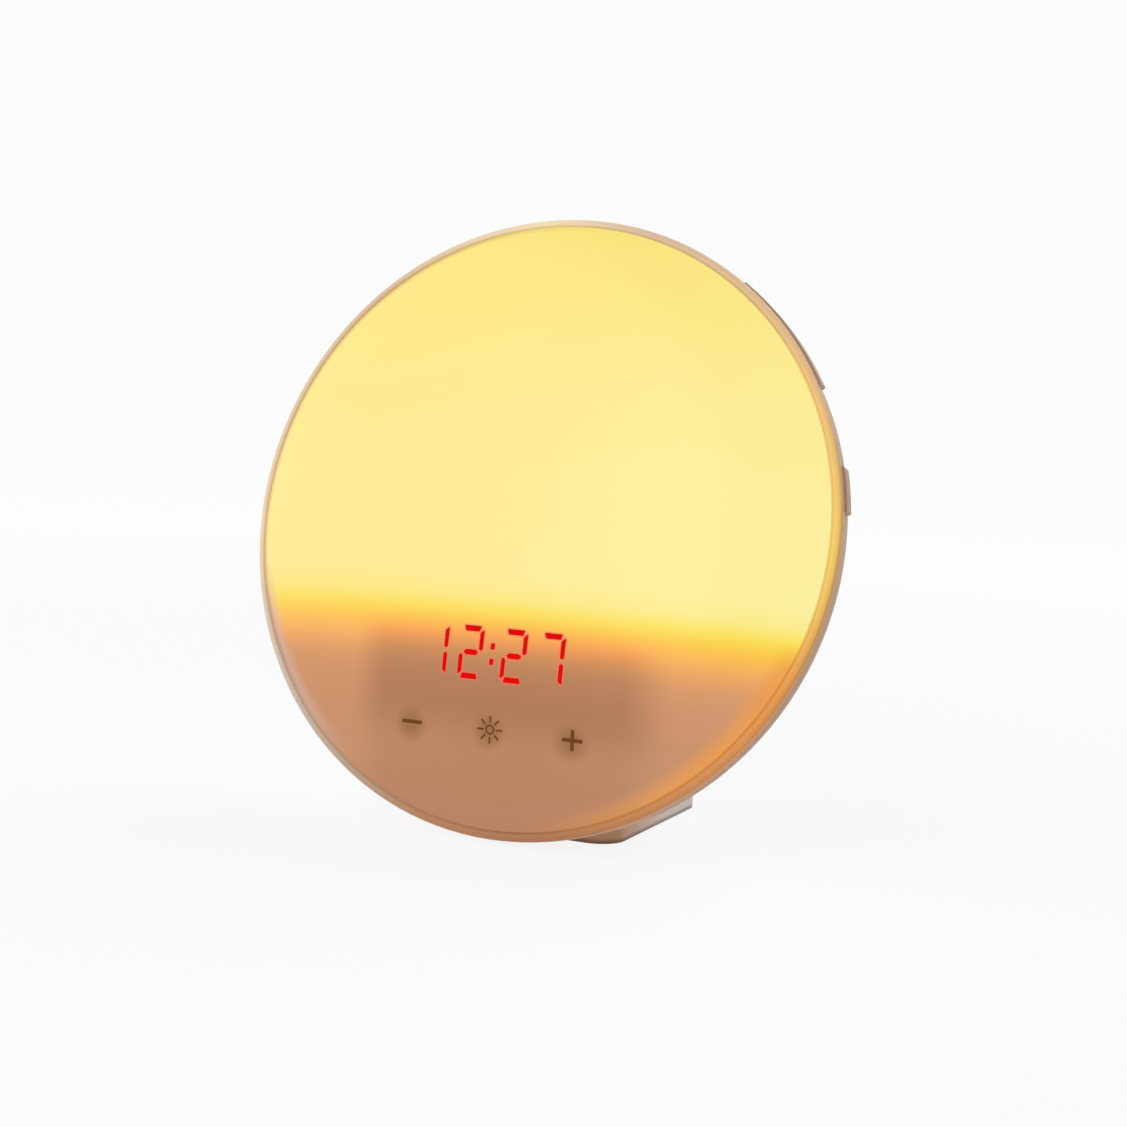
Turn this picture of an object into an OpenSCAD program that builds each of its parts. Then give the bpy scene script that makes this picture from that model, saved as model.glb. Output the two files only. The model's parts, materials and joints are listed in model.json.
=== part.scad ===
// Sunrise alarm clock: a round, glowing, domed face on a bowl-shaped body that leans back on a flat foot.
// The object's own frame: +Z up, the face looks to -Y, z = 0 is the surface the pads stand on, and the
// origin is the bottom centre of the whole object's box. Millimetres and degrees.
// Face frame: x to the right, y up along the face, z forward out of the face, zero at the bezel's front.

/* [Body] */
// Diameter over the bezel
body_d = 168; // [162:1:176]
// Depth from the bezel's front to the back plate
body_depth = 48; // [46.5:0.5:54]
// Angle by which the face leans back
face_lean = 12; // [10:0.5:14]
// Wall of the rear shell
shell_wall = 2.2; // [1.8:0.1:2.4]
// Diameter of the flat back plate
back_d = 100; // [96:1:106]
// Gap from the bezel's lowest point to the ground
rim_gap = 0.9; // [0.6:0.1:1.6]

/* [Front] */
// Height of the diffuser's dome
dome_h = 15; // [13.5:0.5:18]
// Wall of the diffuser
diffuser_wall = 2; // [1.6:0.1:2.2]
// Width of the bezel's lip beside the diffuser
lip_w = 2.2; // [2:0.1:2.6]
// Depth of the bezel's visible side
bezel_h = 3; // [2.8:0.1:3.4]
// Rounding of the bezel's front edge
bezel_round = 1.6; // [0.8:0.1:1.8]
// Depth of the rear shell's band that holds the keys
band_h = 6.5; // [6.3:0.1:7.5]
// How much the band tapers
band_draft = 0.6; // [0.3:0.1:0.8]

/* [Keys] */
// Angle on the face of the long key's middle
snooze_angle = 41.75; // [39:0.25:43]
// Length of the long key
snooze_len = 35.5; // [32:0.5:38]
// Angle on the face of the short key's middle
set_angle = 10.25; // [8:0.25:12]
// Length of the short key
set_len = 12; // [11:0.2:13.4]
// Width of both keys
key_w = 4.2; // [3.6:0.1:4.4]
// How far the keys stand out of the bezel's outline
key_rise = 0.5; // [0.4:0.1:1]
// How far a key travels when pressed
key_travel = 0.6; // [0.4:0.05:0.6]

/* [Foot] */
// Width of the foot
foot_w = 58; // [54:1:64]
// Distance from the face's centre back to the rear of the foot
foot_rear = 67; // [64:0.5:70]
// Distance from the face's centre forward to the front of the foot
foot_front = 1.7; // [0:0.1:3]
// Height of the foot's rear wall
foot_rear_h = 12; // [10:0.5:15]
// Height at which the foot's slope meets the back plate
foot_top_h = 30; // [27:0.5:31]
// Rounding of the foot's upright corners
foot_round = 8; // [6:0.5:8.5]
// Diameter of a rubber pad
pad_d = 9; // [7:0.5:10]
// How far the pads stand out of the foot
pad_rise = 0.6; // [0.4:0.1:0.8]

/* [Light] */
// Distance from the bezel's outline in to the lit chamber
chamber_inset = 15.5; // [15:0.5:18]
chamber_r = body_d / 2 - chamber_inset;
// Room behind the lit chamber for the speaker and the main board
chamber_room = 24; // [23:0.5:26]
chamber_depth = body_depth - chamber_room;
// Wall of the light chassis
chassis_wall = 1.8; // [1.4:0.1:2]
// Height of the divider wall above the bezel's lowest point
divider_up = 58; // [57:0.5:59]
divider_y = body_d / 2 - divider_up; // below the face's centre
// Distance between the lamps
led_pitch = 16; // [12:1:20]

/* [Display] */
// Height of a digit
digit_h = 14.3; // [12:0.1:15]
// Distance between digits
digit_pitch = 9.8; // [9.4:0.1:10.6]
// Extra space for the colon
colon_gap = 2.8; // [2:0.1:3.6]
// Slant of the digits
digit_slant = 8; // [0:1:10]
// Height of the digits' middle above the bezel's lowest point
digit_up = 46.8; // [46:0.1:47.2]
digit_y = body_d / 2 - digit_up; // below the face's centre
// Height of the touch symbols above the bezel's lowest point
touch_up = 27.6; // [27:0.1:29]
touch_y = body_d / 2 - touch_up; // below the face's centre
// Distance between the touch symbols
touch_pitch = 23; // [20:0.5:25]

/* [Sound and power] */
// Outer diameter of the speaker
speaker_d = 52; // [48:1:54]
// Height of the speaker's middle above the bezel's lowest point
speaker_up = 96; // [94:0.5:98]
speaker_y = speaker_up - body_d / 2; // above the face's centre
// How far the speaker's cone moves each way
cone_travel = 0.6; // [0.3:0.1:0.8]
// Diameter of a grille hole
grille_hole_d = 2.4; // [1.6:0.1:2.8]
// Distance between grille holes
grille_pitch = 5; // [4.4:0.1:5.4]
// Rings of grille holes
grille_rings = 4; // [2:1:4]
// Bore of the power inlet
inlet_bore_d = 5.6; // [5:0.1:6.4]
// Contact pin of the power inlet
inlet_pin_d = 2; // [1.6:0.1:2.2]

/* [Hidden] */
$fn = 96;
small_fn = 32;

// Clearances
slip = 0.1;       // between pieces that are put together
key_slip = 0.15;  // round a key in its slot
seat = 0.05;      // between two pieces that lie on each other
bite = 0.05;      // round a screw in its hole
cut = 1;          // how far a cut runs past a face

// Body
body_r = body_d / 2;
back_r = back_d / 2;
band_back = bezel_h + band_h;
bowl_start = [body_r - band_draft, -band_back];
bowl_lead = [body_r - 4.4, -band_back - 10.5];   // steers the bowl's curve away from the band
bowl_turn = [body_r - 11, -body_depth];          // steers it into the back plate
bowl_steps = 14;
back_in = body_depth - shell_wall;

// Front
diffuser_slip = 0.15;
diffuser_r = body_r - lip_w - diffuser_slip;
skirt_h = 1.5;
dome_r = (diffuser_r ^ 2 + dome_h ^ 2) / (2 * dome_h);
dome_z = dome_h - dome_r;
ledge_z = -skirt_h - slip;
ledge_t = 2.4;
ledge_back = ledge_z - ledge_t;
ledge_in_r = diffuser_r - 4.4;

// Where the face's centre lies
front_reach = dome_r + dome_z * cos(face_lean);  // how far the dome reaches in front of the centre
face_y = (front_reach - foot_rear) / 2;
face_z = rim_gap + body_r * cos(face_lean) + bezel_h * sin(face_lean);

// Screws
case_screw_d = 3;
case_head_d = 5.6;
case_head_h = 2;
board_screw_d = 2.4;
board_head_d = 4.6;
board_head_h = 1.6;
board_screw_l = 5;
speaker_screw_l = 3.4;
boss_wall = 1.6;
board_boss_r = board_screw_d / 2 + boss_wall;

// Case screws
post_r = 3.5;
post_ring_r = body_r - 8.5;
post_end = -9;
post_angles = [75, 145, 215, 325];
tube_r = 4.4;
tube_shelf_t = 3;
tube_shelf_z = post_end - slip - tube_shelf_t;
case_screw_tip = ledge_z - 2.4;

// Light chassis
rim_z = ledge_back - slip;
rim_t = 2;
rim_r = ledge_in_r + 0.1;
chamber_out_r = chamber_r + chassis_wall;
deck_z = -10.2;
led_board_t = 1.6;
led_board_r = chamber_r - 4;
led_board_y = -divider_y + 4;
led_screw_r = led_board_r - 9.5;
led_screw_angles = [8, 90, 172];
led_edge = 6;                              // least distance of a lamp from the board's edge and screws
led_row_y = led_board_y + 10;
led_size = [3.5, 2.8, 0.8];
led_front = -chamber_depth + seat + led_board_t;
led_lead_at = [-5, led_board_y + 2];
led_lead_gap = 4;
divider_gap = 0.4;

// Display
board_corner = 4;                          // from a board's edges in to its screws
display_drop = 2.2;                        // from the divider down to the display board
display_board_size = [76, 34, 1.6];
display_board_y = -divider_y - chassis_wall - display_drop - display_board_size[1] / 2;
display_board_z = -3.5;
display_front = display_board_z + display_board_size[2];
module_size = [50, 17, 8];
segment_t = 0.4;
segment_w = 1.7;
segment_gap = 0.35;
digit_w = 7;
display_screw_x = display_board_size[0] / 2 - board_corner;
display_screw_y = display_board_size[1] / 2 - board_corner;
display_screws = [for (x = [-1, 1], y = [-1, 1])
    [x * (display_screw_x + (y - 1) * board_corner / 2), display_board_y + y * display_screw_y]];
ribbon_at = [0, display_board_y - 3];
ribbon_w = 20;
ribbon_t = 0.5;
spring_r = 3.4;
spring_wire = 0.6;
spring_turns = 5;
spring_top = dome_z + sqrt((dome_r - diffuser_wall) ^ 2 - (norm([touch_pitch, touch_y]) + spring_r) ^ 2) - 0.4;

// Main board
main_size = [76, 35, 1.6];
main_room = 15.6;                          // from the back plate's rear face to the board's front
main_y = display_board_y + 12.5;
main_front = -body_depth + main_room;
main_back = main_front - main_size[2];
main_screws = [for (x = [-1, 1], y = [-1, 1])
    [x * (main_size[0] / 2 - board_corner), main_y + y * (main_size[1] / 2 - board_corner)]];
chips = [[[12, 12, 1.4], [-18, 4.5]], [[16, 10, 2.2], [18, 6.5]], [[7, 5, 1.4], [-18, -9.5]]];
capacitors = [[4, 11, [12, -9.5]], [4, 11, [21, -9.5]], [2.5, 5, [-28, -3.5]]];
socket_wall = [4, 4];                      // how much longer and wider the ribbon's socket is than the ribbon
socket_h = 4;
key_plug = [6, 4, 3];
key_plug_at = [main_size[0] / 2 - 5, 6.5];

// Power inlet
inlet_at = [main_size[0] / 2 - 15, main_y + 3.5];
inlet_size = 9;
inlet_face = body_depth - 1;
inlet_bore_l = 9;

// Speaker
speaker_r = speaker_d / 2;
gasket_t = 1;
gasket_w = 3;
flange_t = 1.2;
flange_w = 3.5;
flange_z = -back_in + gasket_t;            // rear face of the speaker's flange
basket_z = flange_z + 9.5;                 // front of the basket, where the magnet sits
magnet_r = 13;
magnet_l = 6.5;
coil_r = 6.7;
coil_wall = 0.4;
coil_slip = 0.6;
cone_r = speaker_r - 7;
surround_slip = 0.15;
speaker_screw_angles = [30, 150, 270];
speaker_screw_ring = speaker_r + 2.4;

// Keys
lug = 1.2;
key_back_r = body_r - band_draft - shell_wall - 0.2;
key_mid_z = -bezel_h - slip - 1.1 - key_w / 2;
key_lug_z = 0.8;
plunger_d = 2;
plunger_slip = 0.1;
plunger_l = 1.85;
switch_rise = 0.75;
switch_size = [2.4, 5, 3.6];
switch_floor = 0.6;
key_board_t = 1;
key_board_w = 5;
key_board_spare = 2.4;
snooze_switches = [-10, 10];
key_lead_d = 1;
key_lead_route = [[body_r - 8.6, 6, key_mid_z - 3.2], [body_r - 11.5, -8, key_mid_z - 9.7],
    [body_r - 12.5, -11, main_front + 4.4],
    [key_plug_at[0] + 4, main_y + key_plug_at[1], main_front + key_plug[2] / 2 + 0.1]];
peg_r = 0.8;

// Foot
foot_z = pad_rise;
foot_wall = 2.4;
foot_l = foot_rear + foot_front;
foot_mid_y = face_y + (foot_rear - foot_front) / 2;
foot_meet = body_depth * cos(face_lean)     // from the face's centre back to where the slope meets the back plate
    + (foot_top_h - face_z + body_depth * sin(face_lean)) * tan(face_lean);
cavity_front = 15;                          // from the face's centre back to where the foot is hollow
cover_t = 2.4;
cover_y0 = face_y + cavity_front;
cover_w = foot_w - 2 * foot_wall;
pad_t = 1.6;
pad_edge = pad_d / 2 + 1.6;                 // from a pad's centre to the cover's edge
pad_x = cover_w / 2 - slip - pad_edge;
pad_y = foot_l / 2 - foot_wall - slip - pad_edge;
base_screw_x = foot_w / 2 - 8.5;
base_screw_rows = [cover_y0 + 4.5, foot_mid_y + pad_y - pad_d / 2 - 5];
base_head_sink = 1.5;
base_screw_l = 5;

// A frame with x to the right, y up along the face and z out of it
module on_face() {
    translate([0, face_y, face_z]) rotate([90 - face_lean, 0, 0]) children();
}

// A frame with x outwards through the rim at an angle of the face, y along the rim and z out of the face
module at_rim(angle) {
    on_face() rotate([0, 0, angle]) children();
}

function curve(a, b, c, d, t) =
    (1 - t) ^ 3 * a + 3 * (1 - t) ^ 2 * t * b + 3 * (1 - t) * t ^ 2 * c + t ^ 3 * d;
function heading(a, b, c, d, t) =
    (1 - t) ^ 2 * (b - a) + 2 * (1 - t) * t * (c - b) + t ^ 2 * (d - c);
function outwards(v) = [-v[1], v[0]] / norm(v);

// The bowl's outline from the band to the back plate, moved outwards by grow
function bowl_line(grow) = [for (i = [0 : bowl_steps])
    let (t = i / bowl_steps)
    curve(bowl_start, bowl_lead, bowl_turn, [back_r, -body_depth], t)
        + grow * outwards(heading(bowl_start, bowl_lead, bowl_turn, [back_r, -body_depth], t))];

// The body's filled outer shape, from front to the back plate
module bowl(grow, front) {
    rotate_extrude()
        polygon(concat([[0, front], [body_r + grow, front], [body_r + grow, -bezel_h]],
            bowl_line(grow), [[0, -body_depth - grow]]));
}

// A rounded rectangle with true arcs, middle at the origin
module round_rect(size, r) {
    square([size[0] - 2 * r, size[1]], center = true);
    square([size[0], size[1] - 2 * r], center = true);
    for (x = [-1, 1], y = [-1, 1])
        translate([x * (size[0] / 2 - r), y * (size[1] / 2 - r)]) circle(r);
}

// A board or block with its middle at a point and its back at z
module plate(size, at, z) {
    translate([at[0] - size[0] / 2, at[1] - size[1] / 2, z]) cube(size);
}

module rod(r, z0, z1) {
    translate([0, 0, z0]) cylinder(r = r, h = z1 - z0, $fn = small_fn);
}

// A pan-head screw that points to -z, its head resting on z
module screw(d, length, head_d, head_h, z) {
    rod(d / 2, z - length, z + head_h / 2);
    rod(head_d / 2, z, z + head_h);
}

// A wire through points
module wire(points, d) {
    for (i = [0 : len(points) - 2]) {
        run = points[i + 1] - points[i];
        translate(points[i])
            rotate([0, acos(run[2] / norm(run)), atan2(run[1], run[0])])
                cylinder(d = d, h = norm(run), $fn = small_fn);
    }
    for (i = [1 : len(points) - 2])
        translate(points[i]) sphere(d = 1.1 * d, $fn = small_fn);
}

// Front
module front_diffuser() {
    color([0.99, 0.92, 0.6]) on_face() difference() {
        intersection() {
            translate([0, 0, dome_z]) sphere(dome_r, $fn = 300);
            translate([0, 0, -skirt_h]) cylinder(r = diffuser_r, h = skirt_h + dome_h + cut);
        }
        translate([0, 0, dome_z]) sphere(dome_r - diffuser_wall, $fn = 300);
        translate([0, 0, -skirt_h - cut]) cylinder(r = diffuser_r - diffuser_wall, h = cut + 0.5);
    }
}

module bezel_ring() {
    lip_in = body_r - lip_w;
    corner = [body_r - bezel_round, -bezel_round];
    color([0.93, 0.85, 0.72]) on_face() difference() {
        union() {
            rotate_extrude() polygon(concat(
                [[ledge_in_r, ledge_back], [ledge_in_r, ledge_z], [lip_in, ledge_z], [lip_in, 0]],
                [for (a = [90 : -15 : 0]) corner + bezel_round * [cos(a), sin(a)]],
                [[body_r, -bezel_h], [body_r - shell_wall - slip, -bezel_h],
                    [body_r - shell_wall - slip, ledge_back]]));
            for (a = post_angles)
                rotate([0, 0, a]) translate([post_ring_r, 0, 0]) rod(post_r, post_end, ledge_z - 0.4);
        }
        for (a = post_angles)
            rotate([0, 0, a]) translate([post_ring_r, 0, 0])
                rod(case_screw_d / 2 + bite, post_end - cut, case_screw_tip + 0.5);
    }
}

// Rear shell and foot
module foot_block() {
    translate([0, face_y, 0]) intersection() {
        rotate([90, 0, 90]) translate([0, 0, -foot_w / 2]) linear_extrude(foot_w)
            polygon([[-foot_front, foot_z], [foot_rear, foot_z], [foot_rear, foot_rear_h],
                [foot_meet, foot_top_h], [foot_meet - 12, foot_top_h], [-foot_front, foot_rear_h]]);
        translate([0, (foot_rear - foot_front) / 2, 0])
            linear_extrude(foot_top_h + cut) round_rect([foot_w, foot_l], foot_round);
    }
}

// The room inside the foot's wall, seen from below
module foot_plan(gap) {
    intersection() {
        translate([0, foot_mid_y])
            round_rect([cover_w - 2 * gap, foot_l - 2 * foot_wall - 2 * gap], foot_round - foot_wall - gap);
        translate([-foot_w / 2, cover_y0 + gap]) square([foot_w, foot_l]);
    }
}

module foot_cavity() {
    difference() {
        intersection() {
            translate([0, face_y, 0]) rotate([90, 0, 90])
                translate([0, 0, -foot_w / 2]) linear_extrude(foot_w)
                    polygon([[0, foot_z - cut], [foot_rear, foot_z - cut],
                        [foot_rear, foot_rear_h - 1.5 * foot_wall],
                        [foot_rear - foot_wall, foot_rear_h - foot_wall / 2],
                        [foot_meet - foot_wall, foot_top_h - foot_wall], [0, foot_top_h - foot_wall]]);
            translate([0, 0, foot_z - 2 * cut]) linear_extrude(foot_top_h + 2 * cut) foot_plan(0);
        }
        on_face() bowl(0.4, cut);
        for (x = [-1, 1], y = base_screw_rows)
            translate([x * base_screw_x, y, foot_z + cover_t + seat])
                cylinder(r = board_boss_r, h = foot_top_h, $fn = small_fn);
    }
}

module housing_bosses() {
    intersection() {
        union() {
            for (a = post_angles)
                rotate([0, 0, a]) translate([post_ring_r, 0, 0]) rod(tube_r, -body_depth, post_end - slip);
            for (p = main_screws)
                translate([p[0], p[1], 0]) rod(board_boss_r, -body_depth, main_back - seat);
            translate([0, speaker_y, 0]) for (a = speaker_screw_angles)
                rotate([0, 0, a]) translate([speaker_screw_ring, 0, 0])
                    rod(board_screw_d / 2 + 1, -body_depth, flange_z + flange_t - seat);
        }
        bowl(-shell_wall / 2, cut);
    }
}

module grille_holes() {
    translate([0, speaker_y, -body_depth - cut]) {
        cylinder(d = grille_hole_d, h = shell_wall + 2 * cut, $fn = small_fn);
        for (ring = [1 : grille_rings], i = [0 : 6 * ring - 1])
            rotate([0, 0, 60 * i / ring]) translate([ring * grille_pitch, 0, 0])
                cylinder(d = grille_hole_d, h = shell_wall + 2 * cut, $fn = small_fn);
    }
}

module key_slot(angle, length) {
    rotate([0, 0, angle])
        translate([body_r - band_draft - shell_wall - 4, -length / 2 - key_slip, key_mid_z - key_w / 2 - key_slip])
            cube([shell_wall + band_draft + 8, length + 2 * key_slip, key_w + 2 * key_slip]);
}

module rear_housing() {
    color([0.75, 0.65, 0.58]) difference() {
        union() {
            difference() {
                union() {
                    on_face() bowl(0, -bezel_h);
                    foot_block();
                }
                on_face() bowl(-shell_wall, cut);
                foot_cavity();
            }
            on_face() housing_bosses();
        }
        on_face() {
            for (a = post_angles)
                rotate([0, 0, a]) translate([post_ring_r, 0, 0]) {
                    rod(case_head_d / 2 + 0.3, -body_depth, tube_shelf_z);
                    rod(case_screw_d / 2 + slip, -body_depth, cut);
                }
            for (p = main_screws)
                translate([p[0], p[1], 0])
                    rod(board_screw_d / 2 + bite, main_back - board_screw_l, cut);
            translate([0, speaker_y, 0]) for (a = speaker_screw_angles)
                rotate([0, 0, a]) translate([speaker_screw_ring, 0, 0])
                    rod(board_screw_d / 2 + bite, flange_z + flange_t - speaker_screw_l - 0.3, cut);
            grille_holes();
            plate([inlet_size + 2 * slip, inlet_size + 2 * slip, shell_wall + 2 * cut], inlet_at,
                -body_depth - cut);
            key_slot(snooze_angle, snooze_len);
            key_slot(set_angle, set_len);
        }
        for (x = [-1, 1]) {
            for (y = base_screw_rows)
                translate([x * base_screw_x, y, 0]) rod(board_screw_d / 2 + bite, 0,
                    foot_z + base_head_sink + base_screw_l + 0.3);
            translate([x * pad_x, foot_mid_y - pad_y, 0])
                cylinder(d = pad_d + 2 * slip, h = pad_t + seat);
        }
    }
}

module base_cover() {
    color([0.72, 0.7, 0.66]) difference() {
        translate([0, 0, foot_z]) linear_extrude(cover_t) foot_plan(slip);
        for (x = [-1, 1]) {
            for (y = base_screw_rows)
                translate([x * base_screw_x, y, 0]) {
                    rod(board_head_d / 2 + slip, 0, foot_z + base_head_sink);
                    rod(board_screw_d / 2 + slip, 0, foot_z + cover_t + cut);
                }
            translate([x * pad_x, foot_mid_y + pad_y, 0])
                cylinder(d = pad_d + 2 * slip, h = pad_t + seat);
        }
    }
}

module foot_pads() {
    color([0.25, 0.25, 0.26])
        for (x = [-1, 1], y = [-1, 1])
            translate([x * pad_x, foot_mid_y + y * pad_y, 0]) cylinder(d = pad_d, h = pad_t);
}

// Light
module above_divider(r, h) {
    intersection() {
        cylinder(r = r, h = h);
        translate([-r - cut, -divider_y, -cut]) cube([2 * (r + cut), r + divider_y + cut, h + 2 * cut]);
    }
}

module key_bracket(angle, length) {
    back = key_board_back(length);
    rotate([0, 0, angle]) {
        translate([chamber_r, -length / 2 - 1, key_mid_z - key_board_w / 2])
            cube([back - seat - chamber_r, length + 2, key_board_w]);
        for (y = [-1, 1])
            translate([back - 1, y * (length / 2 - 0.8), key_mid_z]) rotate([0, 90, 0])
                cylinder(r = peg_r, h = 1 + key_board_t, $fn = small_fn);
    }
}

module light_chassis() {
    color([0.95, 0.95, 0.93]) on_face() difference() {
        union() {
            difference() {
                translate([0, 0, rim_z - rim_t]) cylinder(r = rim_r, h = rim_t);
                key_notch(snooze_angle, snooze_len);
                key_notch(set_angle, set_len);
            }
            for (a = post_angles)
                rotate([0, 0, a]) translate([post_ring_r, 0, 0])
                    rod(post_r + 1.4, post_end + slip, rim_z - rim_t / 4);
            translate([0, 0, deck_z - chassis_wall])
                cylinder(r = chamber_out_r, h = rim_z - deck_z + chassis_wall);
            intersection() {
                translate([0, 0, -chamber_depth - chassis_wall])
                    cylinder(r = chamber_out_r, h = chamber_depth + chassis_wall + rim_z);
                translate([-body_r, -divider_y - chassis_wall, -body_depth])
                    cube([body_d, body_d, body_depth]);
            }
            for (a = led_screw_angles)
                rotate([0, 0, a]) translate([led_screw_r, 0, 0])
                    rod(board_boss_r, -chamber_depth - board_screw_l, -chamber_depth - cut);
            key_bracket(snooze_angle, snooze_len);
            key_bracket(set_angle, set_len);
        }
        translate([0, 0, -chamber_depth]) above_divider(chamber_r, chamber_depth);
        difference() {
            translate([0, 0, deck_z]) cylinder(r = chamber_r, h = -deck_z);
            translate([-body_r, -divider_y - chassis_wall, deck_z - cut]) cube([body_d, body_d, body_depth]);
        }
        for (a = post_angles)
            rotate([0, 0, a]) translate([post_ring_r, 0, 0]) rod(post_r + slip, -body_depth, cut);
        for (a = led_screw_angles)
            rotate([0, 0, a]) translate([led_screw_r, 0, 0])
                rod(board_screw_d / 2 + bite, -body_depth, -chamber_depth + cut);
        plate([ribbon_w + 4, 4, chassis_wall + 2 * cut], ribbon_at, deck_z - chassis_wall - cut);
        plate([10, 3, chassis_wall + 2 * cut], led_lead_at, -chamber_depth - chassis_wall - cut);
        for (p = display_screws)
            translate([p[0], p[1], 0]) {
                rod(board_screw_d / 2 + bite, display_board_z - board_screw_l, cut);
                rod(board_head_d / 2 + slip, display_front, body_depth);
            }
    }
    color([0.95, 0.95, 0.93]) on_face() for (p = display_screws)
        translate([p[0], p[1], 0]) difference() {
            rod(board_boss_r, deck_z - chassis_wall / 2, display_board_z - seat);
            rod(board_screw_d / 2 + bite, display_board_z - board_screw_l, cut);
        }
}

module key_notch(angle, length) {
    rotate([0, 0, angle])
        translate([chamber_out_r + 0.2, -length / 2 - key_board_spare - 1.2, -body_depth])
            cube([body_r - chamber_out_r, length + 2 * (key_board_spare + 1.2), body_depth + cut]);
}

module light_divider() {
    color([0.9, 0.9, 0.88]) on_face() intersection() {
        translate([0, 0, dome_z]) sphere(dome_r - diffuser_wall - divider_gap, $fn = 300);
        translate([0, 0, rim_z + seat]) cylinder(r = ledge_in_r - divider_gap, h = dome_h);
        translate([-body_r, -divider_y - chassis_wall, rim_z + seat]) cube([body_d, chassis_wall, body_depth]);
    }
}

module led_board() {
    color([0.93, 0.94, 0.92]) on_face() difference() {
        translate([0, 0, -chamber_depth + seat]) intersection() {
            cylinder(r = led_board_r, h = led_board_t);
            translate([-body_r, led_board_y, -cut]) cube([body_d, body_d, led_board_t + 2 * cut]);
        }
        for (a = led_screw_angles)
            rotate([0, 0, a]) translate([led_screw_r, 0, 0])
                rod(board_screw_d / 2 + slip, -body_depth, 0);
    }
}

module led_emitters() {
    color([1, 0.93, 0.55]) on_face()
        for (i = [-3 : 3], j = [0 : 4]) {
            at = [i * led_pitch, led_row_y + j * led_pitch];
            to_screw = min([for (a = led_screw_angles) norm(at - led_screw_r * [cos(a), sin(a)])]);
            if (norm(at) < led_board_r - led_edge && to_screw > led_edge)
                plate(led_size, at, led_front);
        }
}

// Display
module display_board() {
    color([0.12, 0.3, 0.2]) on_face() difference() {
        plate(display_board_size, [0, display_board_y], display_board_z);
        for (p = display_screws)
            translate([p[0], p[1], 0]) rod(board_screw_d / 2 + slip, -body_depth, body_depth);
    }
}

module display_module() {
    color([0.85, 0.84, 0.8]) on_face()
        plate(module_size, [0, -digit_y], display_front + seat);
}

// One straight segment with pointed ends, from one end to the other
module segment(a, b) {
    run = b - a;
    along = run / norm(run);
    side = [-along[1], along[0]] * segment_w / 2;
    p = a + along * segment_gap;
    q = b - along * segment_gap;
    inset = along * segment_w / 2;
    polygon([p, p + inset + side, q - inset + side, q, q - inset - side, p + inset - side]);
}

// Corners of a digit: lower left, lower right, middle left, middle right, upper left, upper right
function corner_at(col, row) = [
    (col - 0.5) * (digit_w - segment_w) + row * (digit_h - segment_w) / 2 * tan(digit_slant),
    row * (digit_h - segment_w) / 2];

module digit(lit) {
    ends = [[[0, 1], [1, 1]], [[1, 1], [1, 0]], [[1, 0], [1, -1]], [[0, -1], [1, -1]],
        [[0, 0], [0, -1]], [[0, 1], [0, 0]], [[0, 0], [1, 0]]];
    for (i = lit)
        segment(corner_at(ends[i][0][0], ends[i][0][1]), corner_at(ends[i][1][0], ends[i][1][1]));
}

module lit_segments() {
    shown = [[1, 2], [0, 1, 6, 4, 3], [0, 1, 6, 4, 3], [0, 1, 2]];
    places = [-1.5, -0.5, 0.5, 1.5];
    color([0.95, 0.05, 0.02]) on_face()
        translate([-1.2, -digit_y, display_front + 2 * seat + module_size[2]]) linear_extrude(segment_t) {
            for (i = [0 : 3])
                translate([places[i] * digit_pitch + sign(places[i]) * colon_gap / 2, 0]) digit(shown[i]);
            for (y = [-1, 1])
                translate([y * 2 * tan(digit_slant), y * 2]) circle(d = 1.4, $fn = small_fn);
        }
}

// A coil spring that stands on z and ends at top
module coil(r, wire_d, turns, z, top) {
    sides = 6;
    rings = turns * 10;
    rise = top - z - wire_d;
    ring = [for (i = [0 : rings], s = [0 : sides - 1])
        let (a = 360 * turns * i / rings, b = 360 * s / sides, out = r + wire_d / 2 * cos(b))
        [out * cos(a), out * sin(a), z + wire_d / 2 + rise * i / rings + wire_d / 2 * sin(b)]];
    faces = concat(
        [[for (s = [0 : sides - 1]) s]],
        [for (i = [0 : rings - 1], s = [0 : sides - 1], half = [0, 1])
            let (a = i * sides + s, b = i * sides + (s + 1) % sides)
            half == 0 ? [a, a + sides, b] : [b, a + sides, b + sides]],
        [[for (s = [sides - 1 : -1 : 0]) rings * sides + s]]);
    polyhedron(ring, faces);
}

module touch_springs() {
    color([0.75, 0.72, 0.62]) on_face()
        for (x = [-1 : 1])
            translate([x * touch_pitch, -touch_y, 0])
                coil(spring_r - spring_wire / 2, spring_wire, spring_turns, display_front + seat, spring_top);
}

module display_ribbon() {
    color([0.82, 0.8, 0.74]) on_face()
        plate([ribbon_w, ribbon_t, display_board_z - main_front - 2 * seat], ribbon_at, main_front + seat);
}

module led_leads() {
    color([0.8, 0.2, 0.15]) on_face() for (x = [-0.5, 0.5])
        translate([led_lead_at[0] + x * led_lead_gap, led_lead_at[1], 0]) rod(0.7, main_front + seat, -chamber_depth);
}

// Main board
module main_board() {
    color([0.1, 0.32, 0.2]) on_face() difference() {
        plate(main_size, [0, main_y], main_back);
        for (p = main_screws)
            translate([p[0], p[1], 0]) rod(board_screw_d / 2 + slip, -body_depth, body_depth);
    }
}

module board_chips() {
    color([0.12, 0.12, 0.13]) on_face() for (c = chips)
        plate(c[0], [c[1][0], main_y + c[1][1]], main_front + seat);
}

module board_capacitors() {
    color([0.2, 0.25, 0.45]) on_face() for (c = capacitors)
        translate([c[2][0], main_y + c[2][1], 0]) rod(c[0], main_front + seat, main_front + c[1]);
}

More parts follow.
